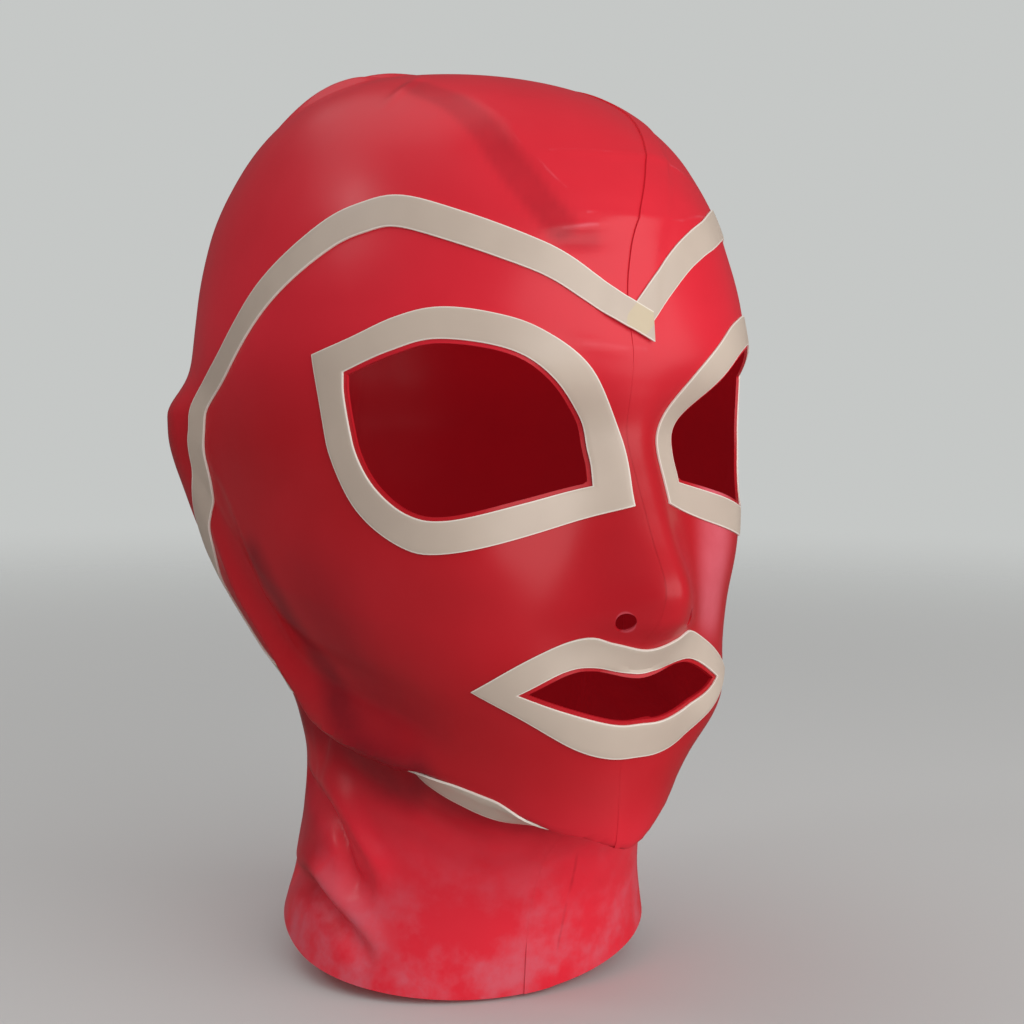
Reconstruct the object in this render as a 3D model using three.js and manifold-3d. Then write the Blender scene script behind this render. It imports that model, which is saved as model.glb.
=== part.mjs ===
// Full-head latex hood with its neck, as it stands when worn, in millimetres.
// +Z is up, the face looks towards -Y and +X is the wearer's left.
// The origin is the inside top of the crown, and "down" is the distance below its outside.
import * as THREE from "three";
import Module from "manifold-3d";

const wasm = await Module();
wasm.setup();
const { Manifold, Mesh: SolidMesh } = wasm;

// Sheet thicknesses, clearances and strip widths.
const WALL = 1.2;
const TRIM = 1.0;
const GAP = 0.3;
const EDGE = 1;
const BAND_HALF = 4.2;
const BAND_END = { right: 1.7, left: -1.2 };
const NOSTRIL = { turn: 6.5, down: 152.5, halfTurn: 1.6, halfDown: 2.2 };

// Small turns of the eye and mouth cut-outs about the head's upright axis, in degrees.
const EYE_TURN = 1.2;
const MOUTH_TURN = -1;

// The neck's lower edge dips at the front and rises at the back.
const HEM = { mean: 257, front: 10, left: -4 };

// Mesh density: columns round the head, closer together at the face, and rows down it.
const COLUMNS = 34;
const FACE_DENSITY = 0.5;
const CROWN_ROWS = { to: 60, steps: 8 };
const LOWER_ROWS = [
  { to: 120, steps: 6 },
  { to: 166, steps: 7 },
  { to: 228, steps: 8 },
  { to: HEM.mean, steps: 3 },
];
const OUTLINE_STEPS = 10;
const BAND_STEPS = 32;
const BAND_CROSSING = 5;

// Level sections of the outside: reach to the front and back, half width, where the widest line lies
// (positive towards the back), and how square the front half is (2 is an ellipse).
const BACK_SQUARE = 2;
const SECTIONS = [
  { down: 0, front: 0, back: 0, half: 0, middle: 0, square: 2 },
  { down: 5, front: 34, back: 40, half: 38, middle: 0, square: 1.95 },
  { down: 14, front: 56, back: 62, half: 53, middle: 2, square: 1.95 },
  { down: 30, front: 77, back: 81, half: 65, middle: 4, square: 1.95 },
  { down: 50, front: 89, back: 93, half: 73, middle: 6, square: 2 },
  { down: 70, front: 92, back: 97, half: 77, middle: 6, square: 2.15 },
  { down: 90, front: 93, back: 97, half: 79, middle: 6, square: 2.2 },
  { down: 107, front: 90, back: 95, half: 79, middle: 6, square: 2.2 },
  { down: 127, front: 89, back: 90, half: 76, middle: 2, square: 2.15 },
  { down: 148, front: 92, back: 80, half: 71.5, middle: 0, square: 2.1 },
  { down: 172, front: 95, back: 64, half: 61.5, middle: 0, square: 2.25 },
  { down: 184, front: 94, back: 56, half: 54, middle: 0, square: 2.35 },
  { down: 194, front: 92, back: 53, half: 50.5, middle: 0, square: 2.4 },
  { down: 208, front: 87, back: 51.5, half: 48, middle: 0, square: 2.25 },
  { down: 220, front: 72, back: 50.5, half: 49, middle: 0, square: 2 },
  { down: 229, front: 61, back: 51, half: 51.5, middle: -4, square: 2 },
  { down: 245, front: 54.5, back: 53.5, half: 54.5, middle: -4, square: 2 },
  { down: 270, front: 52, back: 63, half: 60, middle: -4, square: 2 },
];

// The nose stands out of the sections by "rise" over a rounded half width.
const NOSE = [
  { down: 92, rise: 0, half: 13 },
  { down: 104, rise: 2, half: 13 },
  { down: 117, rise: 7, half: 14 },
  { down: 132, rise: 14.5, half: 16 },
  { down: 144, rise: 19.5, half: 18 },
  { down: 152, rise: 16, half: 20 },
  { down: 159, rise: 7, half: 20 },
  { down: 166, rise: 0, half: 20 },
];

// Rounded swells and hollows of the face, each on both sides unless x is 0.
const FORMS = [
  { name: "orbit", x: 20, down: 104, halfX: 15, halfDown: 13, rise: -6 },
  { name: "brow", x: 30, down: 84, halfX: 26, halfDown: 12, rise: 2.5 },
  { name: "cheek", x: 46, down: 134, halfX: 22, halfDown: 18, rise: 4 },
  { name: "lips", x: 0, down: 177, halfX: 30, halfDown: 14, rise: 3 },
  { name: "chin", x: 0, down: 206, halfX: 22, halfDown: 14, rise: 5 },
  { name: "mouth corner", x: 24, down: 194, halfX: 20, halfDown: 14, rise: -1.5 },
];
const EAR = { y: 22, down: 106, halfY: 16, halfUp: 17, halfLow: 40, rise: 10.5 };

// Folds of the stretched sheet: each runs through its points (degrees from the front, down),
// stands out by "rise", hangs down by "drop" and dies away over "half".
const FOLD_RADIUS = 65;
const FOLDS = [
  { name: "right jaw ridge", half: 7, rise: 3.5, drop: 6,
    path: [[-82, 187], [-57, 193], [-42, 200]] },
  { name: "right jaw hollow", half: 6, rise: -3, drop: 0,
    path: [[-82, 175], [-60, 182], [-40, 192], [-26, 200]] },
  { name: "right neck valley", half: 5, rise: -2.5, drop: 0,
    path: [[-108, 214], [-66, 212], [-36, 217]] },
  { name: "right neck ridge", half: 5, rise: 1.5, drop: 0,
    path: [[-80, 221], [-48, 223], [-24, 232]] },
  { name: "right low crease", half: 5, rise: -1.5, drop: 0,
    path: [[-100, 238], [-86, 240], [-66, 252]] },
  { name: "left jaw ridge", half: 7, rise: 3, drop: 5,
    path: [[82, 187], [57, 193], [42, 200]] },
  { name: "left jaw hollow", half: 6, rise: -2.5, drop: 0,
    path: [[82, 175], [60, 182], [40, 192], [26, 200]] },
  { name: "left lip gape", half: 11, rise: 3, drop: 0,
    path: [[18, 181], [32, 181]] },
  { name: "left neck valley", half: 5, rise: -1.5, drop: 0,
    path: [[104, 216], [60, 215], [36, 219]] },
];

// Cut-out and trim outlines for one side, in degrees from the front and down, corner to corner.
const EYE_OPEN = {
  over: [
    [50, 88.7], [41.5, 83.2], [33.8, 80.1], [23.6, 82.5],
    [16.5, 89.3], [9.8, 100.2], [8.6, 110], [9, 118],
  ],
  under: [
    [9, 118], [21.5, 122.5], [34.4, 126.8], [40.9, 125.6],
    [45.6, 119.1], [48.1, 109], [49.8, 95.7], [50, 88.7],
  ],
};
const EYE_TRIM = {
  over: [
    [57, 84.2], [49, 79.8], [40.7, 74.4], [33.6, 71.9], [25.7, 73.2],
    [18.3, 77.4], [9.7, 88.2], [3.8, 105], [4, 123],
  ],
  under: [
    [4, 123], [18.5, 129.8], [35, 135.4], [43, 134.1],
    [50.5, 125], [53.4, 110.4], [55.4, 94.8], [57, 84.2],
  ],
};
const MOUTH_OPEN = {
  over: [[20, 172.3], [12.6, 166], [7.9, 165], [2.5, 167], [0, 167.5]],
  under: [[0, 180.5], [5, 180.2], [13, 176.4], [20, 172.3]],
};
const MOUTH_TRIM = {
  over: [[27.6, 172], [18.5, 163], [10.2, 157], [5.7, 158.3], [0, 160.3]],
  under: [[0, 190], [5, 189.5], [11, 186.3], [19.5, 178.5], [27.6, 172]],
};

// Middle line of the face band from the forehead V round to the chin, with its height on each side.
const BAND = [
  { turn: 0, right: 74, left: 72.6 },
  { turn: 4.5, right: 71, left: 65 },
  { turn: 9, right: 66.3, left: 58.4 },
  { turn: 13.3, right: 61.5, left: 54.3 },
  { turn: 18, right: 57.8, left: 51.3 },
  { turn: 28.2, right: 51.7, left: 46.8 },
  { turn: 39.5, right: 46.8, left: 45.5 },
  { turn: 47, right: 48, left: 48 },
  { turn: 56, right: 53, left: 53 },
  { turn: 72, right: 68, left: 68 },
  { turn: 85.4, right: 85.6, left: 85.6 },
  { turn: 91, right: 97, left: 97 },
  { turn: 93, right: 108, left: 108 },
  { turn: 96, right: 119.6, left: 119.6 },
  { turn: 101, right: 131.4, left: 131.4 },
  { turn: 108, right: 147, left: 147 },
  { turn: 116, right: 160, left: 160 },
  { turn: 117, right: 173, left: 173 },
  { turn: 108, right: 185, left: 185 },
  { turn: 92, right: 193, left: 193 },
  { turn: 75, right: 198, left: 198 },
  { turn: 58, right: 202, left: 202 },
  { turn: 40, right: 204, left: 204 },
  { turn: 23, right: 209, left: 209 },
  { turn: 12, right: 215, left: 215 },
  { turn: 0, right: 220, left: 220 },
];

// Middle of the seam between the two halves: its offset to the wearer's left,
// down the front and down the back.
const SEAM = [
  { down: -30, front: 30, back: 30 },
  { down: 12, front: 30, back: 30 },
  { down: 23, front: 23, back: 27 },
  { down: 31, front: 17, back: 24 },
  { down: 46, front: 7, back: 19 },
  { down: 56, front: 2.5, back: 16 },
  { down: 70, front: 0, back: 12 },
  { down: 120, front: 1, back: 4 },
  { down: 165, front: -1, back: 0 },
  { down: 200, front: -3, back: 0 },
  { down: 300, front: -4, back: 0 },
];

// A smooth curve through a table's rows that keeps their rises and falls (monotone cubic).
function through(rows, at, value) {
  const xs = rows.map(at);
  const ys = rows.map(value);
  const last = xs.length - 1;
  const step = xs.slice(1).map((x, i) => x - xs[i]);
  const slope = step.map((h, i) => (ys[i + 1] - ys[i]) / h);
  const tangent = xs.map((x, i) => {
    if (i === 0) return slope[0];
    if (i === last) return slope[last - 1];
    if (slope[i - 1] * slope[i] <= 0) return 0;
    const before = 2 * step[i] + step[i - 1];
    const after = step[i] + 2 * step[i - 1];
    return (before + after) / (before / slope[i - 1] + after / slope[i]);
  });
  return (t) => {
    let i = 0;
    while (i < last - 1 && t > xs[i + 1]) i += 1;
    const u = (t - xs[i]) / step[i];
    const v = 1 - u;
    return (
      ys[i] * (1 + 2 * u) * v * v +
      ys[i + 1] * u * u * (3 - 2 * u) +
      step[i] * (tangent[i] * u * v * v - tangent[i + 1] * u * u * v)
    );
  };
}

const clamp = THREE.MathUtils.clamp;
const radians = THREE.MathUtils.degToRad;
const degrees = THREE.MathUtils.radToDeg;
const swell = (a, b) => Math.exp(-1.2 * (a * a + b * b));

const rootDown = (row) => Math.sqrt(row.down);
const section = Object.fromEntries(
  ["front", "back", "half", "middle", "square"].map((key) => [
    key,
    through(SECTIONS, rootDown, (row) => row[key]),
  ]),
);
const noseRise = through(NOSE, (row) => row.down, (row) => row.rise);
const noseHalf = through(NOSE, (row) => row.down, (row) => row.half);
const middleAt = (down) => section.middle(Math.sqrt(Math.max(down, 0)));

// Distance from a point of the sheet to a fold's line, both in degrees and down.
function foldDistance(path, turn, down) {
  const scale = radians(1) * FOLD_RADIUS;
  const point = new THREE.Vector3(turn * scale, down, 0);
  const near = new THREE.Vector3();
  const spans = path.slice(1).map((end, i) => {
    const start = path[i];
    const from = new THREE.Vector3(start[0] * scale, start[1], 0);
    const to = new THREE.Vector3(end[0] * scale, end[1], 0);
    new THREE.Line3(from, to).closestPointToPoint(point, true, near);
    return near.distanceTo(point);
  });
  return Math.min(...spans);
}

// A point of the hood's outside, from the turn about the upright axis (0 at the front) and the height.
function outsidePoint(turn, down) {
  const root = Math.sqrt(Math.max(down, 0));
  const sin = Math.sin(turn);
  const cos = Math.cos(turn);
  const middle = section.middle(root);
  const half = Math.max(section.half(root), 1e-6);
  const reach = cos > 0 ? section.front(root) + middle : section.back(root) - middle;
  const depth = Math.max(reach, 1e-6);
  const share = THREE.MathUtils.smoothstep(cos, -0.35, 0.35);
  const power = section.square(root) * share + BACK_SQUARE * (1 - share);
  let radius = (Math.abs(sin / half) ** power + Math.abs(cos / depth) ** power) ** (-1 / power);
  let drop = 0;
  for (const fold of FOLDS) {
    const size = swell(foldDistance(fold.path, degrees(turn), down) / fold.half, 0);
    radius += fold.rise * size;
    drop += fold.drop * size;
  }
  let x = radius * sin;
  let y = middle - radius * cos;
  const facing = clamp(2 * cos, 0, 1);
  if (down > NOSE[0].down && down < NOSE.at(-1).down) {
    const across = x / noseHalf(down);
    y -= facing * noseRise(down) * Math.exp(-1.6 * across * across);
  }
  for (const form of FORMS) {
    const tall = (down - form.down) / form.halfDown;
    let size = swell((x - form.x) / form.halfX, tall);
    if (form.x > 0) size += swell((x + form.x) / form.halfX, tall);
    y -= facing * form.rise * size;
  }
  const tall = (down - EAR.down) / (down < EAR.down ? EAR.halfUp : EAR.halfLow);
  const side = clamp(2 * Math.abs(sin) - 0.6, 0, 1);
  x += Math.sign(sin) * EAR.rise * swell((y - EAR.y) / EAR.halfY, tall) * side;
  return new THREE.Vector3(x, y, WALL - down - drop);
}

// The same point moved out along the sheet's normal.
function sheetPoint(turn, down, out) {
  const reach = 0.4;
  const low = Math.max(down, reach + 0.05);
  const round = outsidePoint(turn + 0.01, low).sub(outsidePoint(turn - 0.01, low));
  const fall = outsidePoint(turn, low + reach).sub(outsidePoint(turn, low - reach));
  const normal = fall.cross(round).normalize();
  return outsidePoint(turn, down).addScaledVector(normal, out);
}

const hemAt = (turn) => HEM.mean + HEM.front * Math.cos(turn) + HEM.left * Math.sin(turn);

// Heights of the mesh rows below the crown, for a hem at its mean height.
function rowHeights() {
  const heights = [];
  for (let i = 1; i <= CROWN_ROWS.steps; i += 1) {
    heights.push(CROWN_ROWS.to * (i / CROWN_ROWS.steps) ** 2);
  }
  let from = CROWN_ROWS.to;
  for (const span of LOWER_ROWS) {
    for (let i = 1; i <= span.steps; i += 1) {
      heights.push(from + ((span.to - from) * i) / span.steps);
    }
    from = span.to;
  }
  return heights;
}

// Turns of the mesh columns, closest together at the face.
function columnTurns() {
  return Array.from({ length: COLUMNS }, (unused, i) => {
    const even = (2 * Math.PI * i) / COLUMNS - Math.PI;
    return even - FACE_DENSITY * Math.sin(even);
  });
}

function geometryFrom(points, index) {
  const geometry = new THREE.BufferGeometry().setFromPoints(points);
  geometry.setIndex(index);
  return geometry;
}

function solidFrom(geometry) {
  return new Manifold(
    new SolidMesh({
      numProp: 3,
      vertProperties: new Float32Array(geometry.attributes.position.array),
      triVerts: new Uint32Array(geometry.index.array),
    }),
  );
}

// The whole hood as one closed sheet between two distances from the outside.
function sheet(low, high) {
  const heights = rowHeights();
  const turns = columnTurns();
  const points = [];
  const index = [];
  const rows = heights.length;
  const perSide = 1 + rows * COLUMNS;
  for (const out of [high, low]) {
    points.push(new THREE.Vector3(0, 0, WALL + out));
    for (const height of heights) {
      for (const turn of turns) {
        const down = (height * hemAt(turn)) / HEM.mean;
        points.push(sheetPoint(turn, down, out));
      }
    }
  }
  const at = (side, row, column) => side * perSide + 1 + row * COLUMNS + (column % COLUMNS);
  const face = (side, a, b, c) => index.push(...(side === 0 ? [a, b, c] : [a, c, b]));
  for (let i = 0; i < COLUMNS; i += 1) {
    for (const side of [0, 1]) {
      face(side, side * perSide, at(side, 0, i), at(side, 0, i + 1));
      for (let row = 0; row < rows - 1; row += 1) {
        face(side, at(side, row, i), at(side, row + 1, i), at(side, row + 1, i + 1));
        face(side, at(side, row, i), at(side, row + 1, i + 1), at(side, row, i + 1));
      }
    }
    index.push(at(0, rows - 1, i), at(1, rows - 1, i), at(1, rows - 1, i + 1));
    index.push(at(0, rows - 1, i), at(1, rows - 1, i + 1), at(0, rows - 1, i + 1));
  }
  return solidFrom(geometryFrom(points, index));
}

// A smooth line through outline points, sharp only at its ends.
function smoothLine(points, steps) {
  const curve = new THREE.SplineCurve(points.map(([turn, down]) => new THREE.Vector2(turn, down)));
  return curve.getSpacedPoints(steps).map((p) => [p.x, p.y]);
}

// A closed outline from its upper and lower lines.
function outlineOf(shape, steps) {
  const over = smoothLine(shape.over, steps);
  const under = smoothLine(shape.under, steps);
  return [...over.slice(0, -1), ...under.slice(0, -1)];
}

// The closed outline of a shape given for one half.
function mirroredOutline(shape, steps) {
  const over = smoothLine(shape.over, steps);
  const under = smoothLine(shape.under, steps);
  const flip = (line) => line.map(([turn, down]) => [-turn, down]).reverse();
  return [
    ...over.slice(0, -1),
    ...flip(over).slice(0, -1),
    ...flip(under).slice(0, -1),
    ...under.slice(0, -1),
  ];
}

const turned = (outline, by) => outline.map(([turn, down]) => [turn + by, down]);
const mirrored = (outline) => outline.map(([turn, down]) => [-turn, down]).reverse();

// Millimetres per degree of turn at a place on the sheet.
function spread(turn, down) {
  const point = outsidePoint(radians(turn), down);
  return radians(1) * Math.hypot(point.x, point.y - middleAt(down));
}

function signedArea(outline) {
  return THREE.ShapeUtils.area(outline.map(([turn, down]) => new THREE.Vector2(turn, down)));
}

// An outline moved outwards by a distance along the sheet, or inwards where it is negative.
function grown(outline, by) {
  const way = Math.sign(signedArea(outline));
  return outline.map(([turn, down], i) => {
    const before = outline.at(i - 1);
    const after = outline[(i + 1) % outline.length];
    const scale = spread(turn, down);
    const along = new THREE.Vector2((after[0] - before[0]) * scale, after[1] - before[1]).normalize();
    return [turn + (way * by * along.y) / scale, down - way * by * along.x];
  });
}

// A cutter: the outline carried straight out from the upright axis through the sheet.
// Its ends are filled by rungs between the outline's two halves.
function radialCutter(outline) {
  const reaches = [30, 0, -25];
  const ordered = signedArea(outline) > 0 ? outline : [...outline].reverse();
  const count = ordered.length;
  const points = [];
  const index = [];
  for (const reach of reaches) {
    for (const [turn, down] of ordered) {
      const point = outsidePoint(radians(turn), down);
      const axis = new THREE.Vector3(0, middleAt(down), point.z);
      const out = point.sub(axis);
      points.push(axis.addScaledVector(out, 1 + reach / out.length()));
    }
  }
  const inner = (reaches.length - 1) * count;
  const fill = (a, b, c) => index.push(a, c, b, inner + a, inner + b, inner + c);
  for (let i = 0; i < count / 2 - 1; i += 1) {
    const other = count - 1 - i;
    fill(i, i + 1, other);
    if (i + 1 < other - 1) fill(i + 1, other - 1, other);
  }
  for (let ring = 0; ring < inner; ring += count) {
    for (let i = 0; i < count; i += 1) {
      const next = (i + 1) % count;
      const here = ring + i;
      const beside = ring + next;
      index.push(here, beside, beside + count, here, beside + count, here + count);
    }
  }
  return solidFrom(geometryFrom(points, index));
}

// Everything on the wearer's left of the seam's middle line moved by a distance.
function leftOfSeam(by) {
  const edge = 200;
  const deep = 220;
  const overlap = 2;
  const profile = (key) => {
    const line = SEAM.map((row) => new THREE.Vector2(row[key] + by, -row.down));
    const shape = new THREE.Shape([...line, new THREE.Vector2(edge, -300), new THREE.Vector2(edge, 30)]);
    return new THREE.ExtrudeGeometry(shape, { depth: deep, bevelEnabled: false });
  };
  const toFront = profile("front").rotateX(Math.PI / 2);
  const toBack = profile("back").rotateX(Math.PI / 2).translate(0, deep - overlap, 0);
  return Manifold.union(closed(toFront), closed(toBack));
}

// A closed solid from a geometry whose faces repeat their corners.
function closed(geometry) {
  const points = [];
  const index = [];
  const known = new Map();
  const source = geometry.attributes.position;
  for (let i = 0; i < source.count; i += 1) {
    const point = new THREE.Vector3().fromBufferAttribute(source, i);
    const key = point.toArray().map((value) => value.toFixed(4)).join(" ");
    if (!known.has(key)) {
      known.set(key, points.length);
      points.push(point);
    }
    index.push(known.get(key));
  }
  return solidFrom(geometryFrom(points, index));
}

// The outline of a band along a line of points, cut upright at both ends.
function bandOutline(line, widthLeft = BAND_HALF, widthRight = BAND_HALF) {
  const offset = (by) =>
    line.map(([turn, down], i) => {
      const before = line[Math.max(i - 1, 0)];
      const after = line[Math.min(i + 1, line.length - 1)];
      const scale = spread(turn, down);
      const along = new THREE.Vector2((after[0] - before[0]) * scale, after[1] - before[1]).normalize();
      if (i === 0 || i === line.length - 1) {
        return [turn, down + by / along.x];
      }
      return [turn - (by * along.y) / scale, down + by * along.x];
    });
  return [...offset(widthLeft), ...offset(-widthRight).reverse()];
}

// Outlines in place on the right side (negative turns) and the left side.
const eyeOpenLeft = turned(outlineOf(EYE_OPEN, OUTLINE_STEPS), EYE_TURN);
const eyeOpenRight = turned(mirrored(outlineOf(EYE_OPEN, OUTLINE_STEPS)), EYE_TURN);
const eyeTrimLeft = turned(outlineOf(EYE_TRIM, OUTLINE_STEPS), EYE_TURN);
const eyeTrimRight = turned(mirrored(outlineOf(EYE_TRIM, OUTLINE_STEPS)), EYE_TURN);
const mouthOpen = turned(mirroredOutline(MOUTH_OPEN, OUTLINE_STEPS / 2), MOUTH_TURN);
const mouthTrim = turned(mirroredOutline(MOUTH_TRIM, OUTLINE_STEPS / 2), MOUTH_TURN);

// The band's middle line on one side, carried on past the middle to its end in the forehead V.
function bandLine(side, way) {
  const rows = BAND.map((row) => [way * row.turn, row[side]]);
  const [[start, height], [next, lower]] = rows;
  const end = BAND_END[side];
  rows[0] = [end, height + ((lower - height) * (end - start)) / (next - start)];
  rows.at(-1)[0] = (way * GAP) / 2 / spread(0, BAND.at(-1)[side]);
  return smoothLine(rows, BAND_STEPS);
}

const rightLine = bandLine("right", -1);
const bandRight = bandOutline(rightLine);
const bandLeft = bandOutline(bandLine("left", 1));
// The left band stops at the end of the right one, with a clearance, and shows nothing below it.
const bandOver = grown(bandOutline(rightLine.slice(0, BAND_CROSSING), BAND_HALF, 3 * BAND_HALF), GAP);

function nostril(side) {
  const steps = 16;
  return Array.from({ length: steps }, (unused, i) => {
    const angle = (2 * Math.PI * i) / steps;
    return [
      side * NOSTRIL.turn + NOSTRIL.halfTurn * Math.cos(angle),
      NOSTRIL.down + NOSTRIL.halfDown * Math.sin(angle),
    ];
  });
}

// Sheets that the pieces are cut from.
const skin = sheet(-WALL, 0);
const trimSheet = sheet(GAP, GAP + TRIM);

const skinCuts = Manifold.union([
  radialCutter(grown(eyeOpenLeft, -EDGE)),
  radialCutter(grown(eyeOpenRight, -EDGE)),
  radialCutter(grown(mouthOpen, -EDGE)),
  radialCutter(nostril(1)),
  radialCutter(nostril(-1)),
]);

// The halves meet along the seam with a hair of clearance.
const panelRight = skin.subtract(leftOfSeam(-GAP / 2)).subtract(skinCuts);
const panelLeft = skin.intersect(leftOfSeam(GAP / 2)).subtract(skinCuts);

// Trims lie on the skin and leave a narrow line of it showing at each opening.
const trimBetween = (outer, inner) => trimSheet.intersect(radialCutter(outer)).subtract(radialCutter(inner));
const eyeRight = trimBetween(eyeTrimRight, eyeOpenRight);
const eyeLeft = trimBetween(eyeTrimLeft, eyeOpenLeft);
const mouth = trimBetween(mouthTrim, mouthOpen);
const faceRight = trimSheet.intersect(radialCutter(bandRight));
const faceLeft = trimSheet.intersect(radialCutter(bandLeft)).subtract(radialCutter(bandOver));

const redLatex = new THREE.MeshStandardMaterial({ name: "red_latex", color: 0xc5313e, roughness: 0.4 });
const creamLatex = new THREE.MeshStandardMaterial({ name: "cream_latex", color: 0xc3ae9f, roughness: 0.5 });

function piece(name, solid, material) {
  const data = solid.getMesh();
  const geometry = new THREE.BufferGeometry();
  geometry.setAttribute("position", new THREE.BufferAttribute(data.vertProperties, data.numProp));
  geometry.setIndex(new THREE.BufferAttribute(data.triVerts, 1));
  const mesh = new THREE.Mesh(geometry, material);
  mesh.name = name;
  return mesh;
}

const hood = new THREE.Group();
hood.name = "latex_hood";
hood.add(
  piece("panel_right", panelRight, redLatex),
  piece("panel_left", panelLeft, redLatex),
  piece("eye_trim_right", eyeRight, creamLatex),
  piece("eye_trim_left", eyeLeft, creamLatex),
  piece("mouth_trim", mouth, creamLatex),
  piece("face_band_right", faceRight, creamLatex),
  piece("face_band_left", faceLeft, creamLatex),
);

export default hood;
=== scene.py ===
"""The looks of a worn latex hood: two lapped halves of thin red sheet with cream strips glued on them.

The flat sheets are cut in the plane and then wrapped on the form, as the real pieces are.
Tables are in millimetres and degrees: "turn" goes round the head from the front, positive to the
wearer's left, and "down" is the distance below the top of the crown. Blender's own units are metres.
"""

import math
from collections import namedtuple

import bpy
import numpy as np
from mathutils import Matrix, Vector


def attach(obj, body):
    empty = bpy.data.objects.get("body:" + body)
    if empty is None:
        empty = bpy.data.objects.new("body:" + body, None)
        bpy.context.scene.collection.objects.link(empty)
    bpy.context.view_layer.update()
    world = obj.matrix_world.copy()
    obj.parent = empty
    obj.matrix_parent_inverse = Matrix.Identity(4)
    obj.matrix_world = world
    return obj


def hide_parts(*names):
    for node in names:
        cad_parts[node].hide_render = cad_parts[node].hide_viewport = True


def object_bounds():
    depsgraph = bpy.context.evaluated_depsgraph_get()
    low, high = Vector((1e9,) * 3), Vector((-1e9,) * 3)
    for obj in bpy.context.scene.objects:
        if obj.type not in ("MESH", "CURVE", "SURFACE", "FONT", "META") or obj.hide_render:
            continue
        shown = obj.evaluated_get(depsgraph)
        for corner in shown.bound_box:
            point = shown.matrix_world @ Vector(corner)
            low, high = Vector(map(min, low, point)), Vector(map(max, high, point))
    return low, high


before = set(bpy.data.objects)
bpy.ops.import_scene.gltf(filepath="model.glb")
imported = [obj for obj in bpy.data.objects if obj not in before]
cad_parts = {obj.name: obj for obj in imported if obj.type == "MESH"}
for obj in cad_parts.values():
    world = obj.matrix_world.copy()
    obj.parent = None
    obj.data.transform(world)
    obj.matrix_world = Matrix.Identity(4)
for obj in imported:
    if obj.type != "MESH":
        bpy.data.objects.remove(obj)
cad_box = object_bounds()

MM = 0.001

# Sheet thicknesses, the air between glued layers, and the strips' widths.
SKIN = 0.8
STRIP = 0.6
GLUE = 0.03
LAP_GLUE = 0.01
CAD_WALL = 1.2
EDGE = 1.0
BAND_HALF = 4.2
BAND_TIP = 3.5
BAND_END = {"right": 1.7, "left": -0.5}
ROUNDING = 0.12

# The lap: how wide the flat part next to a cut edge is, and over what the outer face sinks back.
LAP_FLAT = 3
LAP_RAMP = 3

EYE_TURN = 1.2
MOUTH_TURN = -1.0
# Nostrils: middle, half sizes, and the width of the painted highlight round each rim.
Nostril = namedtuple("Nostril", "turn down half_turn half_down rim")
NOSTRIL = Nostril(turn=6.5, down=152.5, half_turn=1.25, half_down=2.5, rim=0.4)
Hem = namedtuple("Hem", "mean front left")
HEM = Hem(mean=257, front=10, left=-4)

# Cells of the wrapped sheets round the head and from the crown to the hem, points along each half of a
# cut-out and of a ring strip and along a band, steps in which a band reaches its full width, and cells
# across a strip.
COLUMNS, ROWS = ((300, 250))
CUT_POINTS = 60
RING_POINTS = 90
BAND_POINTS = 260
TIP_STEPS = 30
STRIP_CELLS = 6

# Radius and thickness of the flat pattern, distances in metres at which points are welded, and the
# angles of edges that stay sharp or are rounded.
FLAT_RADIUS = 80
SLAB = 10
SKIN_WELD = 2e-6
STRIP_WELD = 1e-6
SHARP_ANGLE = 40
ROUNDED_ANGLE = 50

# Level sections of the form: reach to the front and back, half width, place of the widest line
# and how square the front is (2 is an ellipse).
Section = namedtuple("Section", "down front back half middle square")
SECTIONS = [
    Section(0, 0, 0, 0, 0, 2),
    Section(5, 34, 40, 38, 0, 1.95),
    Section(14, 56, 62, 53, 2, 1.95),
    Section(30, 77, 81, 65, 4, 1.95),
    Section(50, 89, 93, 73, 6, 2),
    Section(70, 92, 97, 77, 6, 2.15),
    Section(90, 93, 97, 79, 6, 2.2),
    Section(107, 90, 95, 79, 6, 2.2),
    Section(127, 89, 90, 76, 2, 2.15),
    Section(148, 92, 80, 71.5, 0, 2.1),
    Section(172, 95, 64, 61.5, 0, 2.25),
    Section(184, 94, 56, 54, 0, 2.35),
    Section(194, 92, 53, 50.5, 0, 2.4),
    Section(208, 87, 51.5, 48, 0, 2.25),
    Section(220, 72, 50.5, 49, 0, 2),
    Section(229, 61, 51, 51.5, -4, 2),
    Section(245, 54.5, 53.5, 54.5, -4, 2),
    Section(270, 52, 63, 60, -4, 2),
]

# How square the back is, and the cosine of the turn over which the front passes into it.
BACK_SQUARE = 2
FRONT_BLEND = 0.35

# How quickly a swell and the nose die away over their half width.
SWELL_FALL = 1.2
NOSE_FALL = 1.6

# The nose stands out of the sections by "rise" over a rounded half width.
Nose = namedtuple("Nose", "down rise half")
NOSE = [
    Nose(92, 0, 13),
    Nose(104, 2, 13),
    Nose(117, 7, 14),
    Nose(132, 14.5, 16),
    Nose(144, 19.5, 18),
    Nose(152, 16, 20),
    Nose(159, 7, 20),
    Nose(166, 0, 20),
]

# Rounded swells and hollows of the face, on both sides unless x is 0.
Form = namedtuple("Form", "name x down half_x half_down rise")
FORMS = [
    Form("orbit", 20, 104, 15, 13, -6),
    Form("brow", 30, 84, 26, 12, 2.5),
    Form("cheek", 46, 134, 22, 18, 4),
    Form("lips", 0, 177, 30, 14, 3),
    Form("chin", 0, 206, 22, 14, 5),
    Form("mouth corner", 24, 194, 20, 14, -1.5),
]
Ear = namedtuple("Ear", "y down half_y half_up half_low rise")
EAR = Ear(y=34, down=102.6, half_y=19, half_up=10.5, half_low=58, rise=8.5)

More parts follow.
